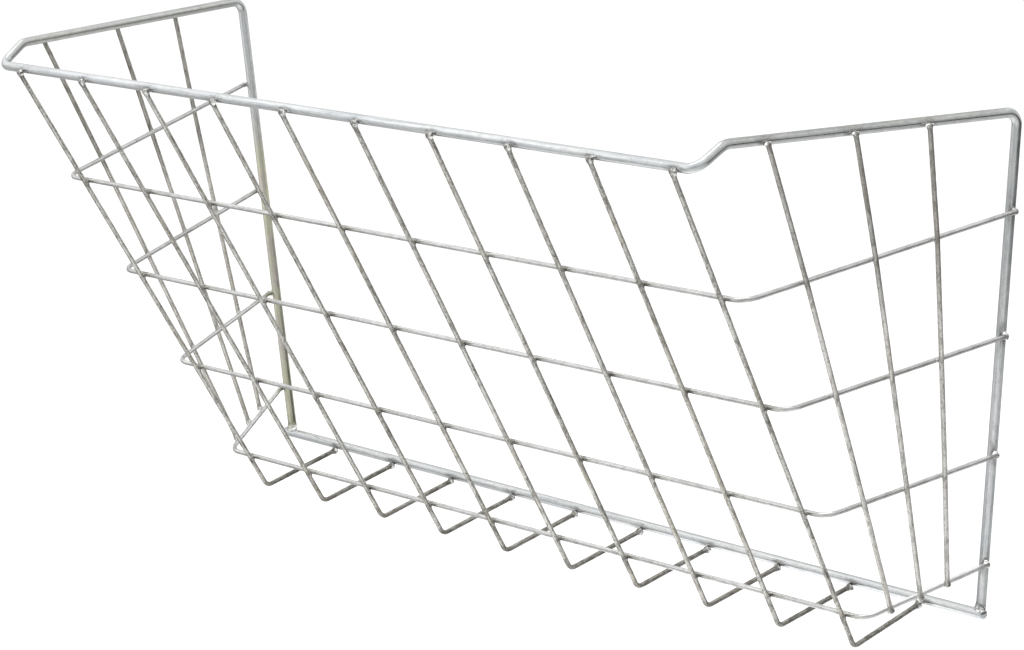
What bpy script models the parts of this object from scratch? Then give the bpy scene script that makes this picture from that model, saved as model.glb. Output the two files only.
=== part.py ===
# Wall hay rack: a basket of welded wire on a frame of thicker rod, hung flat against a wall.
# The frame is zinc-plated rod, the basket zinc-plated wire, and every joint is a weld.
# X runs along the wall, +Y points into it and +Z is up. The origin lies on the wall plane,
# behind the middle of the bottom rail.

import math

import bmesh
import bpy
from mathutils import Matrix, Quaternion, Vector
from mathutils.geometry import intersect_line_line

# Stock, in metres
ROD = 0.006              # diameter of the frame's rod
WIRE = 0.003             # diameter of the basket's wire
GAP = 0.0003             # clearance that welded pieces keep to each other
HAIR = 0.0001            # what a wire stands off beyond that, so that a cut takes weld metal only
BESIDE_STEPS = 4         # steps in which a wire's place beside a rod is found
ROD_ROUND = 6            # bevel resolution of the rod: 16 sides
WIRE_ROUND = 2           # bevel resolution of the wire: 8 sides
ARC_STEP = math.radians(15.0)      # largest turn between two rings of a bend
SHARP = math.radians(60.0)         # edges turning more than this stay sharp in shading
MERGE = 0.00001          # distance within which the corners of a cap and its tube become one

# Rim frame: one rod, bent into two uprights, two side rails and the front rail
LEFT_LOW = 0.3265        # from the rack's middle to the uprights' axes, at the bottom rail
RIGHT_LOW = 0.3295
LEFT_TOP = 0.3662        # and at the side rails
RIGHT_TOP = 0.3605
LEFT_FRONT = 0.3345      # from the rack's middle to the rim's front corners
RIGHT_FRONT = 0.331
DEPTH = 0.220            # from the uprights' axes forward to the front rail's axis
HEIGHT = 0.300           # from the bottom rail's axis up to the side rails' axes, at the wall
FRONT_RISE = 0.0012      # what the side rails rise from there to the front
DROP = 0.012             # how far the front rail lies below the side rails
JOG = 0.019              # length, front to back, over which a side rail comes down
FRONT_SKEW = 0.0042      # what the right front corner stands above level, and the left one below
TOP_BEND = 0.008         # bend radii, on the rod's axis
KNEE_BEND = 0.012
CORNER_BEND = 0.009
ROD_START = 0.0015       # the rod starts this far above the rail's axis, before it is cut to the gap

# Bottom rail: a straight rod under the uprights
RAIL_LEFT = 0.0085       # its ends, beyond the uprights' axes
RAIL_RIGHT = 0.003

# Front wires: lapped on the front rail, with a V bend below and a leg back to the bottom rail
FRONT_WIRES = 10
TOP_PITCH = 0.0696       # from wire to wire at the front rail
LOW_PITCH = 0.0626       # from wire to wire at the V bends
ROW_SHIFT = 0.006        # the row sits this far to the right of the rack's middle
VEE_OUT = 0.0625         # V bends: forward of the bottom rail's axis
VEE_DOWN = 0.0163        # and below it
VEE_BEND = 0.005
TOP_LAP = 0.0026         # length of wire above the weld on the front rail
LEG_LOW = 0.0025         # the legs meet the bottom rail this far below its axis
LEG_STOP = 0.0015        # and end this far in front of it
LAST_TOP = 0.002         # the last wire leans: its top stands this far left of its place
LAST_LEG = 0.006         # and its leg's end this far left

# Hoops: U-shaped wires inside the front wires, welded outside the uprights
HOOPS = 4
HOOP_LOW = 0.0054        # height of the lowest hoop's front run
HOOP_PITCH = 0.0683      # from hoop to hoop
HOOP_RISES = (0.033, 0.028, 0.025, 0.027)        # what the sides rise to the wall, top hoop first
HOOP_TOP_WIDTH = 0.6634  # between a hoop's corners, at the front rail's height
HOOP_LOW_WIDTH = 0.6056  # and at the V bends' height
HOOP_BEND = 0.012
HOOP_LAP = 0.0015        # length of wire behind the weld on an upright

# Side wires: three fanned wires at each end, outside the hoops
RIGHT_TOPS = (0.176, 0.117, 0.066)     # forward of the uprights' axes, on the right side rail
LEFT_TOPS = (0.179, 0.113, 0.059)      # and on the left side rail
SIDE_FEET = (0.0566, 0.0398, 0.0245)   # and on the lowest hoop, at both ends
SIDE_PASTS = (0.0015, 0.003, 0.001)    # length of wire below the lowest hoop's axis
SIDE_LAP = 0.0006        # length of wire above the weld on the side rail

# Weld nuggets, as half sizes along the wire, beside it and out from the rod
TOP_WELD = (0.0026, 0.0024, 0.0019)
LEG_WELD = (0.0022, 0.0023, 0.0021)
HOOP_WELD = (0.0021, 0.0025, 0.0019)
SIDE_WELD = (0.0022, 0.0023, 0.0019)
TIP_WELD = (0.0020, 0.0021, 0.0020)
FOOT_WELD = (0.0026, 0.0040, 0.0034)
WELD_SINK = 0.0005       # how far a nugget's centre lies from the wire's axis, towards the rod
FOOT_SHIFT = 0.0006      # how far the uprights' weld metal stands forward of their axes
NUGGET_ROUND = (10, 7)   # sides and rings of a nugget


# Helpers

def corner(diameter, rounds):
    # From a tube's axis to its section's corners. The section's flats lie on the true circle.
    return diameter / 2 / math.cos(math.pi / (4 + 2 * rounds))


def place(across, forward, up):
    # A point given from the rods' axes at the wall, which stand half a rod in front of it.
    # The front is a little skewed: it stands higher to the right in proportion to both distances.
    skew = FRONT_SKEW * across / RIGHT_FRONT * forward / DEPTH
    return Vector((across, -ROD / 2 - forward, up + skew))


def between(start, end, share):
    return start.lerp(end, share)


def rounded(corners, radii):
    # A path through the corners, with an arc of its own radius in place of each inner one
    path = [corners[0]]
    for before, point, after, radius in zip(corners, corners[1:], corners[2:], radii):
        back = (before - point).normalized()
        onward = (after - point).normalized()
        half = back.angle(onward) / 2
        centre = point + (back + onward).normalized() * (radius / math.sin(half))
        arm = point + back * (radius / math.tan(half)) - centre
        turn = math.pi - 2 * half
        steps = math.ceil(turn / ARC_STEP)
        axis = onward.cross(back)
        path += [centre + Quaternion(axis, turn * k / steps) @ arm for k in range(steps + 1)]
    return path + [corners[-1]]


def beside(base, along, far, reach, side):
    # Where a wire from `far` passes the line through `base` along `along`, at `reach` from it,
    # on its outer side: +1 to the right, -1 to the left. Each step starts from the last point.
    point = base
    for step in range(BESIDE_STEPS):
        across = along.cross(point - far).normalized()
        if across.x * side < 0:
            across.negate()
        point = base + across * reach
    return point


def tube(name, path, diameter, rounds, group, untwist=0.0):
    # A round rod or wire along the path, as a curve with its flats on the true circle.
    # The section turns by `untwist` between the path's right half and its left half.
    curve = bpy.data.curves.new(name, "CURVE")
    curve.dimensions = "3D"
    curve.twist_mode = "MINIMUM"
    curve.bevel_depth = corner(diameter, rounds)
    curve.bevel_resolution = round(rounds)
    curve.use_fill_caps = True
    spline = curve.splines.new("POLY")
    spline.points.add(len(path) - 1)
    for point, spot in zip(spline.points, path):
        point.co = (*spot, 1.0)
        point.tilt = math.pi / (4 + 2 * rounds) + (untwist if spot.x < 0 else 0.0)
    piece = bpy.data.objects.new(name, curve)
    group.objects.link(piece)
    return piece


def meshed(piece):
    # The same piece as a mesh with its caps welded on, which takes Booleans
    name = piece.name
    home = piece.users_collection[0]
    bpy.context.view_layer.update()
    evaluated = piece.evaluated_get(bpy.context.evaluated_depsgraph_get())
    mesh = bpy.data.meshes.new_from_object(evaluated)
    body = bmesh.new()
    body.from_mesh(mesh)
    bmesh.ops.remove_doubles(body, verts=body.verts, dist=MERGE)
    body.to_mesh(mesh)
    body.free()
    mesh.shade_smooth()
    mesh.set_sharp_from_angle(angle=SHARP)
    solid = bpy.data.objects.new(name, mesh)
    solid.matrix_world = piece.matrix_world
    bpy.data.objects.remove(piece)
    solid.name = name
    home.objects.link(solid)
    return solid


def hidden(guide):
    guide.hide_render = True
    guide.display_type = "WIRE"
    return guide


def clearance(name, path, diameter, rounds, untwist=0.0):
    # A cutter that leaves the welding gap round a rod or wire
    return hidden(meshed(tube(name, path, diameter + 2 * GAP, rounds, cutters, untwist)))


def welds(name, nuggets):
    # Ellipsoids of weld metal in one guide. Each is a centre, a direction along the wire,
    # a direction out from the rod and three half sizes.
    sides, rings = NUGGET_ROUND
    body = bmesh.new()
    for centre, along, out, sizes in nuggets:
        along = along.normalized()
        beside_it = out.cross(along).normalized()
        out = along.cross(beside_it)
        turn = Matrix((along, beside_it, out)).transposed().to_4x4()
        matrix = Matrix.Translation(centre) @ turn @ Matrix.Diagonal((*sizes, 1.0))
        bmesh.ops.create_uvsphere(body, u_segments=sides, v_segments=rings, radius=1.0,
                                  matrix=matrix)
    mesh = bpy.data.meshes.new(name)
    body.to_mesh(mesh)
    body.free()
    mesh.shade_smooth()
    guide = bpy.data.objects.new(name, mesh)
    cutters.objects.link(guide)
    return hidden(guide)


def boolean(piece, guide, operation):
    step = piece.modifiers.new(operation.lower(), "BOOLEAN")
    step.operation = operation
    step.solver = "EXACT"
    step.object = guide


def welded(piece, nuggets, clear_of):
    # Adds the nuggets to the piece and cuts both back to the gap round what they are welded to
    boolean(piece, welds(piece.name + "_welds", nuggets), "UNION")
    for guide in clear_of:
        boolean(piece, guide, "DIFFERENCE")


def metal(name, colour, roughness):
    material = bpy.data.materials.new(name)
    material.use_nodes = True
    shader = material.node_tree.nodes["Principled BSDF"]
    shader.inputs["Base Color"].default_value = (*colour, 1.0)
    shader.inputs["Metallic"].default_value = 1.0
    shader.inputs["Roughness"].default_value = roughness
    return material


# Layout

ROD_TO_WIRE = corner(ROD + 2 * GAP, ROD_ROUND) + corner(WIRE, WIRE_ROUND) + HAIR
WIRE_TO_WIRE = corner(WIRE + 2 * GAP, WIRE_ROUND) + corner(WIRE, WIRE_ROUND) + HAIR


def upright_axis(up, side):
    # A point on an upright's axis. The uprights splay outwards from the bottom rail.
    low, top = (RIGHT_LOW, RIGHT_TOP) if side > 0 else (LEFT_LOW, LEFT_TOP)
    return place(side * (low + (top - low) * up / HEIGHT), 0.0, up)


def side_rail_axis(forward, side):
    # A point on a side rail's straight stretch, which draws in and rises towards the front
    top, front = (RIGHT_TOP, RIGHT_FRONT) if side > 0 else (LEFT_TOP, LEFT_FRONT)
    half = top + (front - top) * forward / DEPTH
    return place(side * half, forward, HEIGHT + FRONT_RISE * forward / DEPTH)


def front_height():
    return HEIGHT + FRONT_RISE - DROP


def front_corner(side):
    front = RIGHT_FRONT if side > 0 else LEFT_FRONT
    return place(side * front, DEPTH, front_height())


def rim_path():
    right, left = ([upright_axis(ROD_START, side), upright_axis(HEIGHT, side),
                    side_rail_axis(DEPTH - JOG, side), front_corner(side)]
                   for side in (1, -1))
    radii = [TOP_BEND, KNEE_BEND, CORNER_BEND]
    return rounded(right + left[::-1], radii + radii[::-1])


def rim_untwist():
    # A section carried along the rim arrives at the left upright turned a little, since the front
    # is skewed. This turns it back, so that the flat behind each upright lies on the wall plane.
    wall = Vector((0.0, 1.0, 0.0))
    facing = wall.copy()
    path = rim_path()
    runs = [(end - start).normalized() for start, end in zip(path, path[1:])]
    for before, after in zip(runs, runs[1:]):
        facing.rotate(before.rotation_difference(after))
    return math.atan2(runs[-1].dot(facing.cross(wall)), facing.dot(wall))


def rail_path(extra):
    return [place(-LEFT_LOW - RAIL_LEFT - extra, 0.0, 0.0),
            place(RIGHT_LOW + RAIL_RIGHT + extra, 0.0, 0.0)]


def front_slope():
    # Side view of the front wires, as (forward, up): where they touch the front rail's clearance,
    # and the direction from the V bends up to there
    vee = Vector((VEE_OUT, -VEE_DOWN))
    reach = Vector((DEPTH, front_height())) - vee
    angle = math.atan2(reach.y, reach.x) - math.asin(ROD_TO_WIRE / reach.length)
    up = Vector((math.cos(angle), math.sin(angle)))
    return vee + up * math.sqrt(reach.length ** 2 - ROD_TO_WIRE ** 2), up


def front_wire_corners(number):
    touch, up = front_slope()
    step = number - (FRONT_WIRES + 1) / 2
    last = number == FRONT_WIRES
    weld = place(ROW_SHIFT + step * TOP_PITCH - LAST_TOP * last, touch.x, touch.y)
    vee = place(ROW_SHIFT + step * LOW_PITCH, VEE_OUT, -VEE_DOWN)
    aim = place(vee.x - LAST_LEG * last, 0.0, -LEG_LOW)
    end = between(vee, aim, 1 - LEG_STOP / VEE_OUT)
    tip = weld + (weld - vee).normalized() * TOP_LAP
    return tip, weld, vee, end


def hoop_height(number):
    return HOOP_LOW + (HOOPS - number) * HOOP_PITCH


def hoop_corner(number, side):
    # The corner between a hoop's front run, which rests inside the front wires, and its side
    touch, slope = front_slope()
    up = hoop_height(number)
    forward = VEE_OUT + (up + VEE_DOWN) * slope.x / slope.y - WIRE_TO_WIRE / slope.y
    share = (up + VEE_DOWN) / (front_height() + VEE_DOWN)
    half = (HOOP_LOW_WIDTH + (HOOP_TOP_WIDTH - HOOP_LOW_WIDTH) * share) / 2
    return place(side * half, forward, up)


def hoop_weld(number, side):
    # Where a hoop's side passes the outer face of an upright
    far = hoop_corner(number, side)
    base = upright_axis(hoop_height(number) + HOOP_RISES[number - 1], side)
    along = upright_axis(HEIGHT, side) - upright_axis(0.0, side)
    return beside(base, along, far, ROD_TO_WIRE, side), base


def hoop_path(number):
    ends = []
    for side in (1, -1):
        far = hoop_corner(number, side)
        weld = hoop_weld(number, side)[0]
        ends.append(weld + (weld - far).normalized() * HOOP_LAP)
    corners = [ends[0], hoop_corner(number, 1), hoop_corner(number, -1), ends[1]]
    return rounded(corners, [HOOP_BEND, HOOP_BEND])


def flat(point):
    return Vector((0.0, point.y, point.z))


def side_wire_path(number, side):
    # From the side rail down past the outside of each hoop to just below the lowest
    tops = RIGHT_TOPS if side > 0 else LEFT_TOPS
    rail = side_rail_axis(tops[number], side)
    hoops = [(hoop_corner(k, side), hoop_weld(k, side)[0]) for k in range(1, HOOPS + 1)]
    front, back = hoops[-1]
    forward = -ROD / 2 - front.y
    foot = between(front, back, 1 - SIDE_FEET[number] / forward)
    down = foot - rail
    along = side_rail_axis(DEPTH, side) - side_rail_axis(0.0, side)
    path = [beside(rail, along, foot, ROD_TO_WIRE, side)]
    for start, end in hoops[:-1]:
        cross = intersect_line_line(flat(rail), flat(foot), flat(start), flat(end))[0]
        share = (cross.y - start.y) / (end.y - start.y)
        crossing = between(start, end, share)
        path.append(beside(crossing, end - start, crossing - down, WIRE_TO_WIRE, side))
    path.append(beside(foot, back - front, foot - down, WIRE_TO_WIRE, side))
    path[0] += (path[0] - path[1]).normalized() * SIDE_LAP
    tail = path[-1] + (path[-1] - path[-2]).normalized() * SIDE_PASTS[number]
    return path + [tail], rail, foot


# Pieces

def make_rim_frame():
    rim = meshed(tube("rim_frame", rim_path(), ROD, ROD_ROUND, parts, rim_untwist()))
    nuggets = []
    for side in (1, -1):
        foot = upright_axis(ROD / 2 + GAP, side) + Vector((0.0, -FOOT_SHIFT, 0.0))
        nuggets.append((foot, Vector((0.0, 0.0, 1.0)), Vector((0.0, -1.0, 0.0)), FOOT_WELD))
    welded(rim, nuggets, [rail_clearance])
    return rim


def make_bottom_rail():
    return tube("bottom_rail", rail_path(0.0), ROD, ROD_ROUND, parts)


def make_front_wire(number):
    tip, weld, vee, end = front_wire_corners(number)
    name = "front_wire_%02d" % number
    wire = meshed(tube(name, rounded([tip, vee, end], [VEE_BEND]), WIRE, WIRE_ROUND, parts))
    rail = place(weld.x, DEPTH, front_height())
    out = (weld - rail).normalized()
    leg = (end - vee).normalized()
    seat = end - leg * (WIRE / 2)
    nuggets = [(weld - out * WELD_SINK, weld - vee, out, TOP_WELD),
               (seat, leg, Vector((0.0, 0.0, -1.0)), LEG_WELD)]
    welded(wire, nuggets, [rim_clearance, rail_clearance])
    return wire


def make_hoop(number):
    hoop = meshed(tube("hoop_%d" % number, hoop_path(number), WIRE, WIRE_ROUND, parts))
    nuggets = []
    for side in (1, -1):
        weld, base = hoop_weld(number, side)
        out = (weld - base).normalized()
        nuggets.append((weld - out * WELD_SINK, weld - hoop_corner(number, side), out, HOOP_WELD))
    welded(hoop, nuggets, [rim_clearance])
    return hoop


def make_side_wire(number, side):
    path, rail, foot = side_wire_path(number, side)
    name = "side_wire_%s_%d" % ("right" if side > 0 else "left", number + 1)
    wire = meshed(tube(name, path, WIRE, WIRE_ROUND, parts))
    top_out = Vector((side, 0.0, 0.0))
    foot_out = (path[-2] - foot).normalized()
    nuggets = [(path[0] - top_out * WELD_SINK, path[0] - path[1], top_out, SIDE_WELD),
               (path[-2] - foot_out * WELD_SINK, path[-1] - path[-2], foot_out, TIP_WELD)]
    welded(wire, nuggets, [rim_clearance, hoop_clearance])
    return wire


for old in list(bpy.data.objects):
    bpy.data.objects.remove(old)

parts = bpy.data.collections.new("wall_hay_rack")
cutters = bpy.data.collections.new("cutters")
for group in (parts, cutters):
    bpy.context.scene.collection.children.link(group)

rim_clearance = clearance("rim_clearance", rim_path(), ROD, ROD_ROUND, rim_untwist())
rail_clearance = clearance("rail_clearance", rail_path(ROD), ROD, ROD_ROUND)
hoop_clearance = clearance("hoop_clearance", hoop_path(HOOPS), WIRE, WIRE_ROUND)

rod_colour = (0.74, 0.76, 0.79)
wire_colour = (0.52, 0.52, 0.49)
finishes = {
    "rim_zinc": (metal("rim_zinc", rod_colour, 0.28), [make_rim_frame()]),
    "rail_zinc": (metal("rail_zinc", rod_colour, 0.28), [make_bottom_rail()]),
    "front_wire_zinc": (metal("front_wire_zinc", wire_colour, 0.42),
                        [make_front_wire(number + 1) for number in range(FRONT_WIRES)]),
    "hoop_zinc": (metal("hoop_zinc", wire_colour, 0.38),
                  [make_hoop(number + 1) for number in range(HOOPS)]),
    "side_wire_zinc": (metal("side_wire_zinc", wire_colour, 0.42),
                       [make_side_wire(number, side) for side in (-1, 1)
                        for number in range(len(SIDE_FEET))]),
}
for material, pieces in finishes.values():
    for piece in pieces:
        piece.data.materials.clear()
        piece.data.materials.append(material)
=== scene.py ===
import bpy
import numpy as np
from mathutils import Matrix, Vector


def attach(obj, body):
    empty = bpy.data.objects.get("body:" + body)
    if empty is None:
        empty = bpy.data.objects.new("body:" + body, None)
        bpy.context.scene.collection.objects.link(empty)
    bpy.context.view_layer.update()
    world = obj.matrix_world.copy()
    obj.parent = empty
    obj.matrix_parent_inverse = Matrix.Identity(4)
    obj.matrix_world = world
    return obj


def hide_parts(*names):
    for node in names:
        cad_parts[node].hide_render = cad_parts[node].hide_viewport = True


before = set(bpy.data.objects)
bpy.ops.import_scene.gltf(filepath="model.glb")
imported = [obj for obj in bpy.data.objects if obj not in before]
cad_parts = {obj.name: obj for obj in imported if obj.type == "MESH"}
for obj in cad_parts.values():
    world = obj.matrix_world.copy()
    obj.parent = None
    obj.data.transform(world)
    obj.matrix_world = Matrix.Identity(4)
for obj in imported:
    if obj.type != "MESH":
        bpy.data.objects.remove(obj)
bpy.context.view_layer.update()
print("frame:", len(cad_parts), "nodes")

# The rack's own measures in metres, as the CAD source has them
rack = {
    "rod": 0.006, "wire": 0.003, "rodSides": 16, "wireSides": 8, "gap": 0.0003, "hair": 0.0001,
    "leftLow": 0.3265, "rightLow": 0.3295, "leftTop": 0.3662, "rightTop": 0.3605,
    "leftFront": 0.3345, "rightFront": 0.331, "depth": 0.220, "height": 0.300,
    "frontRise": 0.0012, "drop": 0.012, "jog": 0.019, "skew": 0.0042,
    "topBend": 0.008, "kneeBend": 0.012, "cornerBend": 0.009, "rodStart": 0.0015,
    "railLeft": 0.0085, "railRight": 0.003,
    "frontWires": 10, "topPitch": 0.0696, "lowPitch": 0.0626, "rowShift": 0.006,
    "veeOut": 0.0625, "veeDown": 0.0163, "veeBend": 0.005, "topLap": 0.0026,
    "legLow": 0.0025, "legStop": 0.0015, "lastTop": 0.002, "lastLeg": 0.006,
    "hoops": 4, "hoopLow": 0.0054, "hoopPitch": 0.0683,
    "hoopRises": (0.033, 0.028, 0.025, 0.027),
    "hoopTopWidth": 0.6634, "hoopLowWidth": 0.6056, "hoopBend": 0.012, "hoopLap": 0.0015,
    "rightTops": (0.176, 0.117, 0.066), "leftTops": (0.179, 0.113, 0.059),
    "sideFeet": (0.0566, 0.0398, 0.0245), "sidePasts": (0.0015, 0.003, 0.001),
    "sideBend": 0.03, "sideLap": 0.0006,
}
rodToWire = ((rack["rod"] / 2 + rack["gap"]) / np.cos(np.pi / rack["rodSides"])
             + rack["wire"] / 2 / np.cos(np.pi / rack["wireSides"]) + rack["hair"])
wireToWire = (rack["wire"] + rack["gap"]) / np.cos(np.pi / rack["wireSides"]) + rack["hair"]


def unit(vector):
    return vector / np.linalg.norm(vector)


def place(across, forward, up):
    # A point given from the rods' axes at the wall. The front stands a little skewed.
    skew = rack["skew"] * across / rack["rightFront"] * forward / rack["depth"]
    return np.array((across, -rack["rod"] / 2 - forward, up + skew))


def sided(side, word):
    return rack[("right" if side > 0 else "left") + word]


def uprightAxis(up, side):
    low, top = sided(side, "Low"), sided(side, "Top")
    return place(side * (low + (top - low) * up / rack["height"]), 0.0, up)


def sideRailAxis(forward, side):
    share = forward / rack["depth"]
    half = sided(side, "Top") * (1 - share) + sided(side, "Front") * share
    return place(side * half, forward, rack["height"] + rack["frontRise"] * share)


frontHeight = rack["height"] + rack["frontRise"] - rack["drop"]


def beside(base, along, far, reach, side):
    # Where a wire from far passes the line through base, at reach from it, on its outer side.
    # The way from far depends on that place itself, so four rounds close in on it.
    point = base
    for _ in range(4):
        across = unit(np.cross(along, point - far))
        point = base + across * reach * (1 if across[0] * side > 0 else -1)
    return point


def frontSlope():
    # Side view of the front wires: where they touch the front rail, and their direction upwards
    vee = np.array((rack["veeOut"], -rack["veeDown"]))
    reach = np.array((rack["depth"], frontHeight)) - vee
    length = np.linalg.norm(reach)
    angle = np.arctan2(reach[1], reach[0]) - np.arcsin(rodToWire / length)
    up = np.array((np.cos(angle), np.sin(angle)))
    return vee + up * np.sqrt(length ** 2 - rodToWire ** 2), up


def frontWireEnds(number):
    # Where the wire meets the front rail, and its V bend
    step = number - (rack["frontWires"] + 1) / 2
    last = number == rack["frontWires"]
    across = rack["rowShift"] + step * rack["topPitch"] - rack["lastTop"] * last
    vee = place(rack["rowShift"] + step * rack["lowPitch"], rack["veeOut"], -rack["veeDown"])
    return place(across, *frontSlope()[0]), vee


def frontWireAt(number, up):
    weld, vee = frontWireEnds(number)
    share = (up + rack["veeDown"]) / (frontSlope()[0][1] + rack["veeDown"])
    return vee + (weld - vee) * share


def hoopHeight(number):
    return rack["hoopLow"] + (rack["hoops"] - number) * rack["hoopPitch"]


def hoopCorner(number, side):
    slope = frontSlope()[1]
    up = hoopHeight(number)
    rise = up + rack["veeDown"]
    forward = rack["veeOut"] + rise * slope[0] / slope[1] - wireToWire / slope[1]
    share = rise / (frontHeight + rack["veeDown"])
    half = (rack["hoopLowWidth"] + (rack["hoopTopWidth"] - rack["hoopLowWidth"]) * share) / 2
    return place(side * half, forward, up)


def hoopWeld(number, side):
    base = uprightAxis(hoopHeight(number) + rack["hoopRises"][number - 1], side)
    along = uprightAxis(rack["height"], side) - uprightAxis(0.0, side)
    return beside(base, along, hoopCorner(number, side), rodToWire, side), base


# How finely a line is cut: metres from point to point, points in a bend, and the turn in
# radians below which a bend isn't rounded
lineCut = {"step": 0.00025, "bendPoints": 25, "slightTurn": 0.002}


def reachAlong(line):
    # How far each point is from the start, measured along the line
    return np.concatenate(([0.0], np.linalg.norm(np.diff(line, axis=0), axis=1).cumsum()))


def sampled(spots, reach, values):
    # Points or directions of a line, read off at places along it
    return np.stack([np.interp(spots, reach, values[:, k]) for k in range(3)], axis=1)


def roundedLine(corners, radii):
    # Straight runs joined by arcs: an arc is centre + arm cos(turn) + (axis x arm) sin(turn)
    runs = [corners[:1]]
    for before, point, after, radius in zip(corners, corners[1:], corners[2:], radii):
        back, onward = unit(before - point), unit(after - point)
        half = np.arccos(np.clip(back @ onward, -1.0, 1.0)) / 2
        if np.pi - 2 * half < lineCut["slightTurn"]:
            runs.append(point[None])
            continue
        centre = point + unit(back + onward) * radius / np.sin(half)
        arm = point + back * radius / np.tan(half) - centre
        axis = unit(np.cross(onward, back))
        turn = np.linspace(0.0, np.pi - 2 * half, lineCut["bendPoints"])[:, None]
        runs.append(centre + arm * np.cos(turn) + np.cross(axis, arm) * np.sin(turn))
    line = np.vstack(runs + [corners[-1:]])
    reach = reachAlong(line)
    even = np.linspace(0.0, reach[-1], int(reach[-1] / lineCut["step"]) + 2)
    return sampled(even, reach, line)


# A ripple's waves: how many, how their fineness spreads, their phases in radians, and what the
# sum is divided by to come near to unit size
ripples = {"waves": 10, "spread": (0.5, 1.5), "phases": 6.3, "calm": 2.2}


def ripple(points, fineness, seed):
    # Smooth bumps of about unit size: a sum of sines along random directions
    draw = np.random.default_rng(seed)
    waves = draw.normal(size=(ripples["waves"], 3))
    waves *= (fineness * draw.uniform(*ripples["spread"], (ripples["waves"], 1))
              / np.linalg.norm(waves, axis=1)[:, None])
    phases = draw.uniform(0.0, ripples["phases"], ripples["waves"])
    return np.sin(points @ waves.T + phases).sum(axis=-1) / ripples["calm"]


def falling(start, end, values):
    # Smooth step from 0 at start to 1 at end
    share = np.clip((values - start) / (end - start), 0.0, 1.0)
    return share * share * (3 - 2 * share)


# How rods and wires are swept. A lean is how squarely the surface faces the welded partner.
sweep = {
    "bendTurn": 5.0,                    # radians per metre from which a line counts as bent
    "bendShare": 0.0009,                # there, each (spacing / this)th point has a ring
    "weldReach": 2.6, "weldRings": 23,  # rings over so many lengths of a weld's bell each way
    "domeRings": 8,                     # on a dome's quarter circle, with both of its ends
    "endRoom": 0.00002, "ringRoom": 0.00008,
    "unevenFineness": 900.0, "lumpFineness": 2200.0,
    "lobePower": 1.6, "flankLean": (-0.9, 0.5), "wrapLean": 0.7,
    "maskPower": 0.7, "maskLean": (-1.6, 0.2),
    "patternShift": 3.7, "sharpDegrees": 50.0,
}


def ringSpots(shape, reach, turning, welds):
    # Places of the rings along a wire: evenly apart, and closer in bends, welds and ends
    length, spacing = reach[-1], shape["spacing"]
    bends = reach[turning > sweep["bendTurn"]]
    marks = [np.linspace(0.0, length, int(length / spacing) + 2),
             bends[::max(1, int(spacing / sweep["bendShare"]))]]
    bell = np.linspace(-sweep["weldReach"], sweep["weldReach"], sweep["weldRings"])
    marks += [weld["s"] + bell * weld["along"] for weld in welds]
    if "dome" in shape:
        inner = np.sin(np.linspace(0.0, np.pi / 2, sweep["domeRings"])[1:-1])
        inner = (1 - inner) * shape["dome"]
    else:
        inner = np.array((shape["chamfer"] / 2, shape["chamfer"]))
    marks += [inner, length - inner]
    spots = np.unique(np.concatenate(marks).round(6))
    spots = spots[(spots > sweep["endRoom"]) & (spots < length - sweep["endRoom"])]
    spots = spots[np.concatenate(([True], np.diff(spots) > sweep["ringRoom"]))]
    return np.concatenate(([0.0], spots, [length]))


def ringQuads(count, sides):
    # Faces between neighbouring rings, closed round each ring
    ring, spoke = np.meshgrid(np.arange(count - 1), np.arange(sides), indexing="ij")
    following = (spoke + 1) % sides
    quads = np.stack([ring * sides + spoke, ring * sides + following,
                      (ring + 1) * sides + following, (ring + 1) * sides + spoke], axis=-1)
    return quads.reshape(-1, 4).tolist()


def setMask(mesh, word, values):
    mask = mesh.attributes.new(word, "FLOAT", "POINT")
    mask.data.foreach_set("value", values)


def linked(name, data):
    item = bpy.data.objects.new(name, data)
    bpy.context.scene.collection.objects.link(item)
    return item


def unstained(spots):
    return 0.0 * spots


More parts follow.
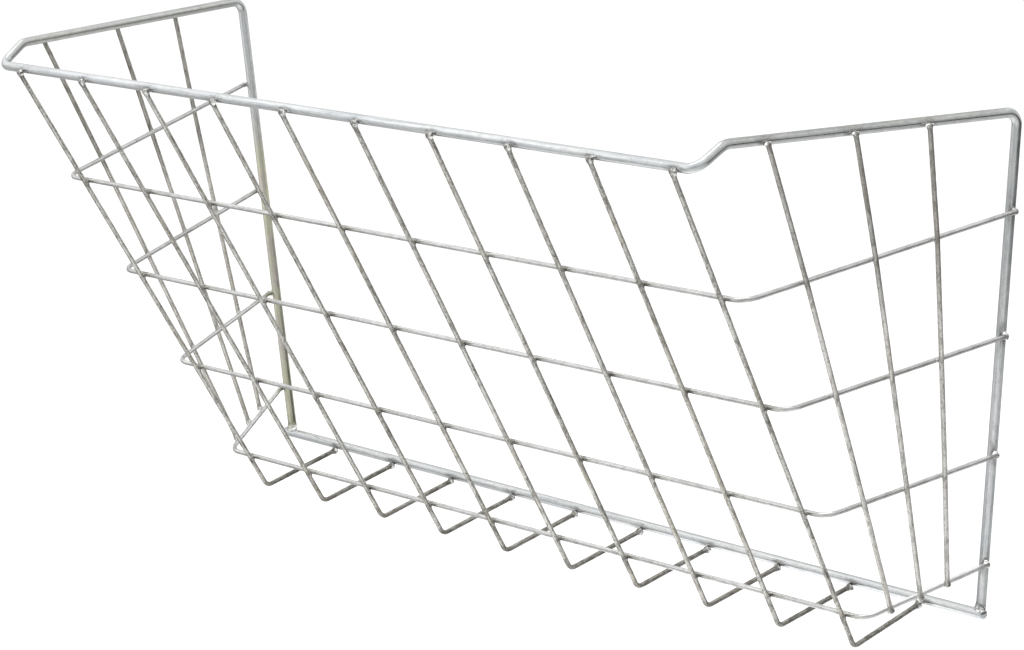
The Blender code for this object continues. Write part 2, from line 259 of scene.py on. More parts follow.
def sweptPiece(name, shape, line, outward, welds, film_and_shade, stain=unstained):
    # A round section carried along the line: point = axis + normal(angle) * radius(s, angle).
    # The radius is the wire's own with slight bumps, plus at each weld a bell along the wire
    # times a lumpy lobe that leans towards the welded partner. At both ends it shrinks to a
    # dome's quarter circle or by a chamfer's straight slope.
    radius, sides, seed = shape["radius"], shape["sides"], shape["seed"]
    reach = reachAlong(line)
    length = reach[-1]
    tangents = np.gradient(line, reach, axis=0)
    turning = np.linalg.norm(np.gradient(tangents, reach, axis=0), axis=1)
    for weld in welds:
        weld["s"] = reach[np.linalg.norm(line - weld["at"], axis=1).argmin()]
    spots = ringSpots(shape, reach, turning, welds)
    axis, along = sampled(spots, reach, line), sampled(spots, reach, tangents)
    along /= np.linalg.norm(along, axis=1)[:, None]
    lead = outward(axis)
    lead = lead - (lead * along).sum(axis=1)[:, None] * along
    lead /= np.linalg.norm(lead, axis=1)[:, None]
    other = np.cross(along, lead)
    angle = np.linspace(0.0, 2 * np.pi, sides, endpoint=False)
    normals = (lead[:, None] * np.cos(angle)[None, :, None]
               + other[:, None] * np.sin(angle)[None, :, None])
    surface = axis[:, None] + normals * radius
    radii = np.full((len(spots), sides), radius)
    radii += shape["uneven"] * ripple(surface, sweep["unevenFineness"], seed)
    weldMask, scorchMask = np.zeros(radii.shape), np.zeros(radii.shape)
    for number, weld in enumerate(welds):
        away = spots - weld["s"]
        bell = np.exp(-(away / weld["along"]) ** 2)[:, None]
        lean = normals @ unit(weld["towards"])
        lobe = weld["reach"] * np.clip(lean, 0.0, 1.0) ** sweep["lobePower"]
        flank = weld["spread"] * (1 - lean ** 2) * falling(*sweep["flankLean"], lean)
        lumps = 1 + weld["lumps"] * ripple(surface, sweep["lumpFineness"], seed + number)
        radii += bell * (lobe + flank + weld["swell"]) * lumps
        metal = bell ** sweep["maskPower"] * weld["mask"] * falling(*sweep["maskLean"], lean)
        weldMask = np.maximum(weldMask, metal)
        wide = np.exp(-(away / weld["scorch"]) ** 2)[:, None]
        wrap = falling(weld["wrap"], weld["wrap"] + sweep["wrapLean"], lean)
        scorchMask = np.maximum(scorchMask, wide * weld["burn"] * wrap)
    for away in (spots, length - spots):
        if "dome" in shape:
            left = np.clip(1 - away / shape["dome"], 0.0, 1.0)
            radii *= np.sqrt(np.clip(1 - left ** 2, 0.0, 1.0))[:, None]
        else:
            left = np.clip(1 - away / shape["chamfer"], 0.0, 1.0)
            radii -= shape["chamfer"] * left[:, None]
    rings = axis[:, None] + normals * radii[:, :, None]
    if "dome" in shape:  # a dome's last ring has no width, and the end point takes its place
        rings, spots, normals = rings[1:-1], spots[1:-1], normals[1:-1]
        weldMask, scorchMask = weldMask[1:-1], scorchMask[1:-1]
    count = len(spots)
    turn = np.arange(sides)
    first, tail = count * sides, (count - 1) * sides
    startFan = np.stack([np.full(sides, first), (turn + 1) % sides, turn], axis=1)
    endFan = np.stack([np.full(sides, first + 1), tail + turn, tail + (turn + 1) % sides], axis=1)
    vertices = np.vstack([rings.reshape(-1, 3), line[:1], line[-1:]])
    faces = ringQuads(count, sides) + startFan.tolist() + endFan.tolist()
    mesh = bpy.data.meshes.new(name)
    mesh.from_pydata(vertices.tolist(), [], faces)
    mesh.shade_smooth()
    mesh.set_sharp_from_angle(angle=np.radians(sweep["sharpDegrees"]))

    def perVertex(values, lastTwo):
        return np.concatenate([values.ravel(), lastTwo]).astype(np.float32)

    # The wire as if it were drawn out straight: its length, and the section's two directions
    shift = seed * sweep["patternShift"]
    run = np.repeat(spots[:, None], sides, axis=1) + shift
    level, sideways = (np.tile(wave(angle) * radius, (count, 1)) for wave in (np.cos, np.sin))
    straight = np.stack([perVertex(run, [run[0, 0], run[-1, 0]]), perVertex(level, [0.0, 0.0]),
                         perVertex(sideways, [0.0, 0.0])], axis=1)
    drawn = mesh.attributes.new("drawn", "FLOAT_VECTOR", "POINT")
    drawn.data.foreach_set("vector", straight.ravel())
    whole = np.ones((count, sides))
    # The film mask holds film and, on several pieces, painted shade.
    masks = {"weld": weldMask, "scorch": scorchMask,
             "film_and_shade": film_and_shade(spots[:, None], normals) * whole,
             "stain": stain(spots[:, None]) * whole}
    for word, values in masks.items():
        setMask(mesh, word, perVertex(values, [values[0, 0], values[-1, 0]]))
    unwrap = mesh.uv_layers.new(name="UVMap")
    corners = np.zeros(len(mesh.loops), np.int32)
    mesh.loops.foreach_get("vertex_index", corners)
    lengthwise = straight[corners, 0] - shift
    around = np.where(corners < first, (corners % sides) / sides, 0.5)
    # The quads' corners come first. The last quad of each ring ends at 1, not back at 0.
    lateral = around[:tail * 4].reshape(-1, 4)
    lateral[(lateral.max(axis=1) - lateral.min(axis=1) > 0.5)[:, None] & (lateral < 0.5)] += 1.0
    unwrap.data.foreach_set("uv", np.stack([lengthwise, around], axis=1).ravel())
    return linked(name, mesh)


def fixedDirection(vector):
    return lambda axis: np.tile(np.array(vector, float), (len(axis), 1))


def awayFrom(centre):
    return lambda axis: axis - np.array(centre)


# Materials: one skin of drawn and plated metal, used by rods, wires and hoops with their values
def newGroup(name, inputs, outputs):
    group = bpy.data.node_groups.new(name, "ShaderNodeTree")
    for kind, words in (("INPUT", inputs), ("OUTPUT", outputs)):
        for word, socket in words:
            group.interface.new_socket(name=word, in_out=kind, socket_type="NodeSocket" + socket)
    return group, group.nodes.new("NodeGroupInput"), group.nodes.new("NodeGroupOutput")


def addNode(tree, kind, links=(), **settings):
    # One node, with its settings and what feeds its sockets: a socket, a number or a colour
    node = tree.nodes.new("ShaderNode" + kind)
    for word, value in settings.items():
        setattr(node, word, value)
    for socket, source in links:
        if isinstance(source, bpy.types.NodeSocket):
            tree.links.new(source, node.inputs[socket])
        else:
            node.inputs[socket].default_value = source
    return node


def math2(tree, operation, first, second, clamp=False):
    return addNode(tree, "Math", [(0, first), (1, second)],
                   operation=operation, use_clamp=clamp).outputs[0]


def mixColour(tree, share, first, second, blend="MIX"):
    return addNode(tree, "Mix", [(0, share), (6, first), (7, second)],
                   data_type="RGBA", blend_type=blend).outputs[2]


def noise(tree, vector, along, across, detail, roughness, distortion):
    # Noise on the drawn-out wire, with one scale along it and another across it
    scaled = addNode(tree, "Mapping", [("Vector", vector), ("Scale", (along, across, across))],
                     vector_type="POINT")
    return addNode(tree, "TexNoise", [("Vector", scaled.outputs[0]), ("Scale", 1.0),
                                      ("Detail", detail), ("Roughness", roughness),
                                      ("Distortion", distortion)]).outputs[0]


def banded(tree, value, low, high):
    # Rises from 0 at low to 1 at high
    return addNode(tree, "MapRange", [(0, value), (1, low), (2, high), (3, 0.0), (4, 1.0)],
                   interpolation_type="SMOOTHSTEP").outputs[0]


# The skin's patterns: scale along the wire, scale across it, detail, roughness and distortion
patterns = {
    "streaks": (26.0, 1500.0, 5.0, 0.62, 0.0), "bands": (9.0, 420.0, 2.0, 0.5, 0.0),
    "clouds": (190.0, 480.0, 4.0, 0.62, 0.4), "specks": (800.0, 950.0, 3.0, 0.7, 0.0),
    "tints": (22.0, 260.0, 2.0, 0.5, 0.6), "patches": (34.0, 70.0, 2.0, 0.5, 0.0),
}
# What they do. A pair gives the pattern's value where it starts to show and where it is full.
skinLook = {
    "clouds": (0.42, 0.66), "streaks": (0.40, 0.72), "bands": (0.45, 0.70), "bandShare": 0.5,
    "tints": (0.45, 0.75), "tintShare": 0.6, "bright": (0.54, 0.68), "brightShare": 0.7,
    "pits": (0.47, 0.34), "pitShare": 0.6, "pitColour": (0.02, 0.02, 0.02, 1.0),
    "darkeningClouds": 0.9, "darkeningLeast": 0.3,
    "patches": (0.46, 0.58), "olive": (1.0, 0.975, 0.75, 1.0), "pink": (1.0, 0.91, 0.80, 1.0),
    "burns": (0.36, 0.62), "burnLeast": 0.4, "burnShare": 0.6,
    "burnColour": (0.10, 0.095, 0.085, 1.0), "welds": (0.25, 0.70), "beads": (0.42, 0.53),
    "darkRough": 0.14, "darkeningRough": 0.2, "weldSmooth": 0.14, "cloudRough": 0.25,
    "streakHeight": 0.7, "cloudHeight": 0.5, "speckHeight": 0.25, "relief": 0.0001,
}


def makePlatedGroup():
    # The colour starts light and takes, one after another, streaks and clouds, tints, bright
    # specks, pits, film with painted shade, stain, scorch and weld metal. The same patterns give
    # roughness and height.
    group, given, result = newGroup(
        "platedSkin",
        [("Drawn", "Vector"), ("Weld", "Float"), ("Scorch", "Float"), ("Film_and_shade", "Float"),
         ("Stain", "Float"), ("Light", "Color"), ("Dark", "Color"), ("Tint", "Color"),
         ("Film", "Color"), ("Weld Colour", "Color"), ("Cloud", "Float"), ("Streak", "Float"),
         ("Speck", "Float"), ("Gloss", "Float")],
        [("Color", "Color"), ("Roughness", "Float"), ("Height", "Float")])
    get, look = given.outputs, skinLook
    streaks, bands, clouds, specks, tints, patches = (
        noise(group, get["Drawn"], *values) for values in patterns.values())

    def times(first, second, clamp=False):
        return math2(group, "MULTIPLY", first, second, clamp)

    def plus(first, second, clamp=False):
        return math2(group, "ADD", first, second, clamp)

    def shown(pattern, word):
        return banded(group, pattern, *look[word])

    streaky = times(shown(streaks, "streaks"), get["Streak"])
    banding = times(shown(bands, "bands"), get["Streak"])
    cloudy = times(shown(clouds, "clouds"), get["Cloud"])
    dark = plus(plus(cloudy, streaky), times(banding, look["bandShare"]), True)
    colour = mixColour(group, dark, get["Light"], get["Dark"])
    tinted = times(shown(tints, "tints"), look["tintShare"])
    colour = mixColour(group, tinted, colour, get["Tint"])
    bright = times(shown(specks, "bright"), times(get["Speck"], look["brightShare"]))
    colour = mixColour(group, bright, colour, get["Weld Colour"])
    pits = times(shown(specks, "pits"), get["Speck"])
    pitted = mixColour(group, look["pitShare"], get["Dark"], look["pitColour"])
    colour = mixColour(group, pits, colour, pitted)
    # The film mask also holds painted shade: undersides, the front wires' legs, the bottom rail's
    # top and two dark lines on the side rails, all darkened towards the film colour.
    darkening = plus(times(clouds, look["darkeningClouds"]), look["darkeningLeast"])
    darkening = times(get["Film_and_shade"], darkening, True)
    colour = mixColour(group, darkening, colour, get["Film"])
    stained = mixColour(group, shown(patches, "patches"), look["olive"], look["pink"])
    colour = mixColour(group, get["Stain"], colour, stained, "MULTIPLY")
    burnt = times(get["Scorch"], plus(shown(clouds, "burns"), look["burnLeast"]), True)
    colour = mixColour(group, times(burnt, look["burnShare"]), colour, look["burnColour"])
    beaded = times(shown(get["Weld"], "welds"), shown(specks, "beads"))
    colour = mixColour(group, beaded, colour, get["Weld Colour"])
    rough = plus(get["Gloss"], times(dark, look["darkRough"]))
    rough = plus(rough, times(darkening, look["darkeningRough"]))
    rough = math2(group, "SUBTRACT", rough, times(get["Weld"], look["weldSmooth"]))
    uneven = math2(group, "SUBTRACT", clouds, 0.5)  # a noise's middle value
    rough = plus(rough, times(uneven, look["cloudRough"]), True)
    height = plus(times(streaks, look["streakHeight"]), times(clouds, look["cloudHeight"]))
    height = plus(height, times(specks, plus(get["Weld"], look["speckHeight"])))
    for word, source in (("Color", colour), ("Roughness", rough), ("Height", height)):
        group.links.new(source, result.inputs[word])
    return group


platedSkin = makePlatedGroup()


def platedMaterial(name, values):
    material = bpy.data.materials.new(name)
    material.use_nodes = True
    tree = material.node_tree
    shader = tree.nodes["Principled BSDF"]
    shader.inputs["Metallic"].default_value = 1.0
    skin = tree.nodes.new("ShaderNodeGroup")
    skin.node_tree = platedSkin
    drawn = addNode(tree, "Attribute", attribute_name="drawn")
    tree.links.new(drawn.outputs["Vector"], skin.inputs["Drawn"])
    for word in ("weld", "scorch", "film_and_shade", "stain"):
        mask = addNode(tree, "Attribute", attribute_name=word)
        tree.links.new(mask.outputs["Fac"], skin.inputs[word.capitalize()])
    for word in ("Light", "Dark", "Tint", "Film", "Weld Colour"):
        skin.inputs[word].default_value = (*values[word], 1.0)
    for word in ("Cloud", "Streak", "Speck", "Gloss"):
        skin.inputs[word].default_value = values[word]
    bump = addNode(tree, "Bump", [("Height", skin.outputs["Height"]),
                                  ("Strength", values["bump"]), ("Distance", skinLook["relief"])])
    tree.links.new(bump.outputs[0], shader.inputs["Normal"])
    tree.links.new(skin.outputs["Color"], shader.inputs["Base Color"])
    tree.links.new(skin.outputs["Roughness"], shader.inputs["Roughness"])
    return material


weldMetal = (0.93, 0.93, 0.92)
finishValues = {
    "rodZinc": {
        "Light": (0.82, 0.83, 0.83), "Dark": (0.50, 0.53, 0.55), "Tint": (0.72, 0.75, 0.79),
        "Film": (0.33, 0.34, 0.30), "Weld Colour": weldMetal,
        "Cloud": 0.35, "Streak": 0.8, "Speck": 0.12, "Gloss": 0.10, "bump": 0.2},
    "frontZinc": {
        "Light": (0.83, 0.825, 0.785), "Dark": (0.25, 0.24, 0.21), "Tint": (0.58, 0.54, 0.45),
        "Film": (0.11, 0.10, 0.085), "Weld Colour": weldMetal,
        "Cloud": 0.58, "Streak": 0.6, "Speck": 0.68, "Gloss": 0.36, "bump": 0.6},
    "hoopZinc": {
        "Light": (0.78, 0.785, 0.78), "Dark": (0.34, 0.34, 0.33), "Tint": (0.62, 0.62, 0.61),
        "Film": (0.14, 0.13, 0.115), "Weld Colour": weldMetal,
        "Cloud": 0.35, "Streak": 0.5, "Speck": 0.25, "Gloss": 0.12, "bump": 0.3},
    "sideZinc": {
        "Light": (0.96, 0.95, 0.915), "Dark": (0.34, 0.33, 0.30), "Tint": (0.66, 0.62, 0.55),
        "Film": (0.13, 0.12, 0.10), "Weld Colour": weldMetal,
        "Cloud": 0.5, "Streak": 0.45, "Speck": 0.5, "Gloss": 0.26, "bump": 0.6},
}
finishes = {name: platedMaterial(name, values) for name, values in finishValues.items()}
print("materials:", len(finishes))


def finished(piece, node, finish):
    piece.data.materials.append(finishes[finish])
    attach(piece, "root")
    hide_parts(node)


def weldAt(at, towards, values):
    # A wire's own weld scorches it all round, and a mark's values give a wrap of their own
    return {"at": at, "towards": np.array(towards, float), "wrap": -2.0, **values}


# What a wire's weld leaves on the rod under it: no metal, only a scorched patch on that side
rodMark = {"along": 0.0015, "reach": 0.0, "spread": 0.0, "swell": 0.0, "lumps": 0.0, "mask": 0.0,
           "burn": 0.95, "scorch": 0.0062, "wrap": 0.2}

# Both rods are a hair slimmer than in the CAD, so no bump passes the wall plane
rodRadius = rack["rod"] / 2 - 0.00003

# Rim frame: uprights, side rails, jogs and front rail bent from one rod
rim = {"radius": rodRadius, "sides": 32, "spacing": 0.003, "dome": 0.001, "uneven": 0.00001,
       "seed": 1, "heart": (0.0, -0.1, 0.15), "footLean": 0.3, "sideBurn": 0.6,
       "foot": {"along": 0.0024, "reach": 0.0010, "spread": 0.0011, "swell": 0.0,
                "lumps": 0.30, "mask": 1.0, "burn": 1.0, "scorch": 0.0062}}
# Its film, stain and two painted dark lines that stand in for reflections: one along the
# upper edge of the right side rail, one in a band along the left side rail. A pair says where
# along the rim a change starts and where it is complete, in metres from the right foot, from
# the left side rail's front or from the rim's end. The pairs called edges are about how far
# the surface faces up.
rimFilmAndShade = {"right": 0.28, "rightStart": (0.13, 0.19), "afterRight": -0.18,
           "rightRail": 0.35, "rightRailTopShade": 0.45, "railStart": (0.30, 0.32),
           "railEnd": (0.53, 0.50), "topEdge": (0.45, 0.85),
           "left": 0.30, "leftStart": (-0.02, 0.02),
           "line": 0.55, "lineStart": (-0.03, -0.015), "lineEnd": (-0.302, -0.315),
           "lineLowEdge": (-0.30, -0.05), "lineHighEdge": (0.42, 0.18),
           "leftUpright": -0.20, "uprightStart": (-0.31, -0.28),
           "leftFoot": -0.20, "footStart": (-0.20, -0.15),
           "stainStart": (-0.235, -0.18), "railStain": 0.16, "railStainStart": (0.0, 0.02),
           "railStainEnd": (-0.30, -0.32)}


def makeRim():
    half = {side: [uprightAxis(rack["rodStart"], side), uprightAxis(rack["height"], side),
                   sideRailAxis(rack["depth"] - rack["jog"], side),
                   place(side * sided(side, "Front"), rack["depth"], frontHeight)]
            for side in (1, -1)}
    radii = [rack["topBend"], rack["kneeBend"], rack["cornerBend"]]
    line = roundedLine(np.array(half[1] + half[-1][::-1]), radii + radii[::-1])
    welds = [weldAt(uprightAxis(rack["rod"] / 2, side), (-side * rim["footLean"], -1.0, 0.0),
                    rim["foot"]) for side in (1, -1)]
    for number in range(1, rack["frontWires"] + 1):
        weld = frontWireEnds(number)[0]
        base = place(weld[0], rack["depth"], frontHeight)
        welds.append(weldAt(base, weld - base, rodMark))
    faintMark = {**rodMark, "burn": rim["sideBurn"]}
    for side in (1, -1):
        for number in range(1, rack["hoops"] + 1):
            weld, base = hoopWeld(number, side)
            welds.append(weldAt(base, weld - base, rodMark))
        for reach in sided(side, "Tops"):
            welds.append(weldAt(sideRailAxis(reach, side), (side, 0.0, 0.0), faintMark))
    total = lineCut["step"] * len(line)
    leftRail = total - rack["height"] - rack["depth"]

    def past(word, spots, origin=0.0):
        start, end = rimFilmAndShade[word]
        return falling(origin + start, origin + end, spots)

    def film_and_shade(spots, normals):
        # Each share of the film times where it lies along the rim and, for the two painted dark
        # lines, how it faces
        up = normals[:, :, 2]
        return (rimFilmAndShade["right"] * past("rightStart", spots)
                + rimFilmAndShade["afterRight"] * past("railStart", spots)
                + rimFilmAndShade["rightRail"] * past("railStart", spots) * past("railEnd", spots)
                + rimFilmAndShade["rightRailTopShade"] * past("railStart", spots) * past("railEnd", spots)
                * past("topEdge", up)
                + rimFilmAndShade["left"] * past("leftStart", spots, leftRail)
                + rimFilmAndShade["line"] * past("lineStart", spots, leftRail)
                * past("lineEnd", spots, total) * past("lineLowEdge", up) * past("lineHighEdge", up)
                + rimFilmAndShade["leftUpright"] * past("uprightStart", spots, total)
                + rimFilmAndShade["leftFoot"] * past("footStart", spots, total))

    def stain(spots):
        # All over the lower left upright, and faint on the left side rail
        return (past("stainStart", spots, total)
                + rimFilmAndShade["railStain"] * past("railStainStart", spots, leftRail)
                * past("railStainEnd", spots, total))

    piece = sweptPiece("rimRod", rim, line, awayFrom(rim["heart"]), welds, film_and_shade, stain)
    finished(piece, "rim_frame", "rodZinc")


# Bottom rail: a straight rod, sheared off at both ends, with painted shade on its upper side that
# dims its reflection there
rail = {"radius": rodRadius, "sides": 32, "spacing": 0.003, "chamfer": 0.0004,
        "uneven": 0.00001, "seed": 2, "footLean": 0.5,
        "darkening": 0.25, "upperShadeEdge": (0.1, 0.5), "topShade": 0.18, "topEdge": (0.80, 0.95)}


def makeRail():
    ends = np.array([place(-rack["leftLow"] - rack["railLeft"], 0.0, 0.0),
                     place(rack["rightLow"] + rack["railRight"], 0.0, 0.0)])
    feet = [frontWireEnds(number)[1] for number in range(1, rack["frontWires"] + 1)]
    welds = [weldAt(place(foot[0], 0.0, 0.0), (0.0, -1.0, -rail["footLean"]), rodMark)
             for foot in feet]

    def film_and_shade(spots, normals):
        # Painted shade: the more the surface faces up, the darker it is.
        up = normals[:, :, 2]
        return (rail["darkening"] * falling(*rail["upperShadeEdge"], up)
                + rail["topShade"] * falling(*rail["topEdge"], up))

    piece = sweptPiece("railRod", rail, roundedLine(ends, []), fixedDirection((0.0, -1.0, 0.0)),
                       welds, film_and_shade)
    finished(piece, "bottom_rail", "rodZinc")


# Front wires: lapped on the front rail, past the hoops, round the V bend and back to the rail.
# Painted shade darkens the V bend with the legs after it and the undersides, and a film grows
# from wire to wire towards the left.
front = {"radius": rack["wire"] / 2, "sides": 18, "spacing": 0.002, "dome": 0.0013,
         "uneven": 0.00002, "seed": 10, "legWeld": 0.0018, "filmStep": 0.012,
         "legShade": 0.75, "bendStart": -0.012, "bendEnd": 0.004,
         "underShade": 0.35, "underEdge": (0.1, -0.8),
         "top": {"along": 0.0019, "reach": 0.0009, "spread": 0.0009, "swell": 0.0004,
                 "lumps": 0.25, "mask": 1.0, "burn": 1.0, "scorch": 0.0049},
         "leg": {"along": 0.0019, "reach": 0.0003, "spread": 0.0004, "swell": 0.0007,
                 "lumps": 0.30, "mask": 1.0, "burn": 1.0, "scorch": 0.0049},
         "cross": {"along": 0.0013, "reach": 0.0009, "spread": 0.0002, "swell": 0.0,
                   "lumps": 0.10, "mask": 0.5, "burn": 0.6, "scorch": 0.0034}}


def makeFrontWire(number):
    weld, vee = frontWireEnds(number)
    last = number == rack["frontWires"]
    aim = place(vee[0] - rack["lastLeg"] * last, 0.0, -rack["legLow"])
    end = vee + (aim - vee) * (1 - rack["legStop"] / rack["veeOut"])
    tip = weld + unit(weld - vee) * rack["topLap"]
    line = roundedLine(np.array([tip, vee, end]), [rack["veeBend"]])
    partner = place(weld[0], rack["depth"], frontHeight)
    leg = unit(end - vee)
    welds = [weldAt(weld, partner - weld, front["top"]),
             weldAt(end - leg * front["legWeld"], (0.0, 0.0, -1.0), front["leg"])]
    for hoopNumber in range(1, rack["hoops"] + 1):
        inner = hoopCorner(hoopNumber, 1)[1]
        spot = frontWireAt(number, hoopHeight(hoopNumber))
        behind = np.array((spot[0], inner, spot[2]))
        near = line[np.linalg.norm(line - behind, axis=1).argmin()]
        welds.append(weldAt(near, behind - near, front["cross"]))
    bend = np.linalg.norm(weld - vee) + rack["topLap"]

    def film_and_shade(spots, normals):
        # A film that grows towards the left, painted shade on the V bend and legs, and painted
        # shade on the undersides.
        return (front["filmStep"] * (rack["frontWires"] - number)
                + front["legShade"] * falling(bend + front["bendStart"], bend + front["bendEnd"],
                                              spots)
                + front["underShade"] * falling(*front["underEdge"], normals[:, :, 2]))

    shape = {**front, "seed": front["seed"] + number}
    piece = sweptPiece("frontWire%02d" % number, shape, line, fixedDirection((1.0, 0.0, 0.0)),
                       welds, film_and_shade)
    finished(piece, "front_wire_%02d" % number, "frontZinc")


# Hoops: across inside the front wires and back to the outer faces of the uprights.
# Painted shade lies on their undersides, deepest round each crossing, where the front wires
# shade them; a faint warm stain lies round each crossing too.
hoop = {"radius": rack["wire"] / 2, "sides": 18, "spacing": 0.0022, "dome": 0.0013,
        "uneven": 0.00002, "seed": 30, "heart": -0.02, "crossingReach": 0.009, "darkening": 0.04,
        "underShade": 0.28, "crossingShade": 0.75, "underEdge": (0.0, -0.5), "smokeStain": 0.2,
        "end": {"along": 0.0018, "reach": 0.0009, "spread": 0.0008, "swell": 0.0005,
                "lumps": 0.25, "mask": 1.0, "burn": 1.0, "scorch": 0.0047},
        "cross": {"along": 0.0013, "reach": 0.0005, "spread": 0.0, "swell": 0.0,
                  "lumps": 0.10, "mask": 0.2, "burn": 1.0, "scorch": 0.0034}}


def makeHoop(number):
    found = [hoopWeld(number, side) for side in (1, -1)]
    ends = [spot + unit(spot - hoopCorner(number, side)) * rack["hoopLap"]
            for side, (spot, base) in zip((1, -1), found)]
    corners = [ends[0], hoopCorner(number, 1), hoopCorner(number, -1), ends[1]]
    line = roundedLine(np.array(corners), [rack["hoopBend"]] * 2)
    welds = [weldAt(spot, base - spot, hoop["end"]) for spot, base in found]
    crossings = []
    for wire in range(1, rack["frontWires"] + 1):
        spot = frontWireAt(wire, hoopHeight(number))
        middle = line[len(line) // 2, 1]
        near = np.linalg.norm(line - (spot[0], middle, spot[2]), axis=1).argmin()
        welds.append(weldAt(line[near], spot - line[near], hoop["cross"]))
        crossings.append(lineCut["step"] * near)

    def crossingBells(spots):
        # 1 at each crossing, fading on both sides of it as a bell
        bells = np.exp(-((spots - np.array(crossings)) / hoop["crossingReach"]) ** 2)
        return bells.max(axis=1, keepdims=True)

    def film_and_shade(spots, normals):
        # A faint film, and painted shade on the undersides, deepest at the crossings.
        return (hoop["darkening"] + (hoop["underShade"] + hoop["crossingShade"] * crossingBells(spots))
                * falling(*hoop["underEdge"], normals[:, :, 2]))

    def stain(spots):
        return hoop["smokeStain"] * crossingBells(spots)

    shape = {**hoop, "seed": hoop["seed"] + number}
    piece = sweptPiece("hoopWire%d" % number, shape, line,
                       awayFrom((0.0, hoop["heart"], hoopHeight(number))), welds, film_and_shade, stain)
    finished(piece, "hoop_%d" % number, "hoopZinc")


# Side wires: three at each end, fanned from the side rail over the hoops to the lowest hoop.
# Film covers their upper third, and painted shade their undersides.
sideWire = {"radius": rack["wire"] / 2, "sides": 18, "spacing": 0.002, "dome": 0.0012,
            "uneven": 0.00002, "seed": 40, "rightFilm": 0.44, "leftFilm": 0.70,
            "filmEnd": (0.125, 0.085), "underShade": 0.25, "underEdge": (0.1, -0.3),
            "leftStain": 0.15,
            "top": {"along": 0.0018, "reach": 0.0009, "spread": 0.0008, "swell": 0.0005,
                    "lumps": 0.25, "mask": 1.0, "burn": 1.0, "scorch": 0.0047},
            "foot": {"along": 0.0016, "reach": 0.0009, "spread": 0.0006, "swell": 0.0004,
                     "lumps": 0.25, "mask": 1.0, "burn": 1.0, "scorch": 0.0042},
            "cross": {"along": 0.0013, "reach": 0.0009, "spread": 0.0002, "swell": 0.0,
                      "lumps": 0.10, "mask": 0.5, "burn": 0.6, "scorch": 0.0034}}


def crossingShare(start, end, first, second):
    # In side view, the share of the way from start to end at which it crosses first to second
    near, far = end[1:] - start[1:], second[1:] - first[1:]
    offset = first[1:] - start[1:]
    return (offset[0] * far[1] - offset[1] * far[0]) / (near[0] * far[1] - near[1] * far[0])


def makeSideWire(number, side):
    top = sideRailAxis(sided(side, "Tops")[number], side)
    hoops = [(hoopCorner(k, side), hoopWeld(k, side)[0]) for k in range(1, rack["hoops"] + 1)]
    start, end = hoops[-1]
    forward = -rack["rod"] / 2 - start[1]
    foot = start + (end - start) * (1 - rack["sideFeet"][number] / forward)
    down = foot - top
    along = sideRailAxis(rack["depth"], side) - sideRailAxis(0.0, side)
    path = [beside(top, along, foot, rodToWire, side)]
    bases = [top]
    for near, far in hoops[:-1]:
        crossing = near + (far - near) * crossingShare(near, far, top, foot)
        path.append(beside(crossing, far - near, crossing - down, wireToWire, side))
        bases.append(crossing)
    path.append(beside(foot, end - start, foot - down, wireToWire, side))
    bases.append(foot)
    kinds = ["top"] + ["cross"] * (len(path) - 2) + ["foot"]
    welds = [weldAt(spot, base - spot, sideWire[kind])
             for spot, base, kind in zip(path, bases, kinds)]
    path[0] = path[0] + unit(path[0] - path[1]) * rack["sideLap"]
    path.append(path[-1] + unit(path[-1] - path[-2]) * rack["sidePasts"][number])
    line = roundedLine(np.array(path), [rack["sideBend"]] * (len(path) - 2))
    darkening = sideWire["rightFilm" if side > 0 else "leftFilm"]

    def film_and_shade(spots, normals):
        # Film on the upper third, and painted shade on the undersides.
        return (darkening * falling(*sideWire["filmEnd"], spots)
                + sideWire["underShade"] * falling(*sideWire["underEdge"], normals[:, :, 2]))

    def stain(spots):
        return (0.0 if side > 0 else sideWire["leftStain"]) + 0.0 * spots

    word = "Right" if side > 0 else "Left"
    shape = {**sideWire, "seed": sideWire["seed"] + number + 5 * side}
    piece = sweptPiece("sideWire%s%d" % (word, number + 1), shape, line,
                       fixedDirection((side, 0.0, 0.0)), welds, film_and_shade, stain)
    finished(piece, "side_wire_%s_%d" % (word.lower(), number + 1), "sideZinc")


makeRim()
makeRail()
print("rods made")
for number in range(1, rack["frontWires"] + 1):
    makeFrontWire(number)
for number in range(1, rack["hoops"] + 1):
    makeHoop(number)
for side in (-1, 1):
    for number in range(len(rack["sideFeet"])):
        makeSideWire(number, side)
print("wires made")


# Floor, flags, lamps, world and camera
studio = {"floorLevel": -0.45, "floorSize": 40.0, "floorColour": 0.86, "floorLift": 0.48,
          "ambient": 0.62, "lampAim": (0.0, -0.1, 0.1),
          "lamps": {"keyLamp": {"power": 64.0, "size": 4.0, "at": (-1.2, -1.4, 3.0)},
                    "fillLamp": {"power": 16.0, "size": 1.6, "at": (2.6, -2.2, 1.6)}}}


def seenRays(tree):
    # 1 for rays from the camera, mirrored rays and rays through glass, or else 0
    path = tree.nodes.new("ShaderNodeLightPath")
    both = math2(tree, "ADD", path.outputs["Is Camera Ray"], path.outputs["Is Glossy Ray"])
    return math2(tree, "ADD", both, path.outputs["Is Transmission Ray"], True)


def stageMaterial(name):
    material = bpy.data.materials.new(name)
    material.use_nodes = True
    material.node_tree.nodes.clear()
    return material, material.node_tree


def stagePiece(name, vertices, faces, material):
    mesh = bpy.data.meshes.new(name)
    mesh.from_pydata(vertices, [], faces)
    mesh.materials.append(material)
    piece = linked(name, mesh)
    return piece


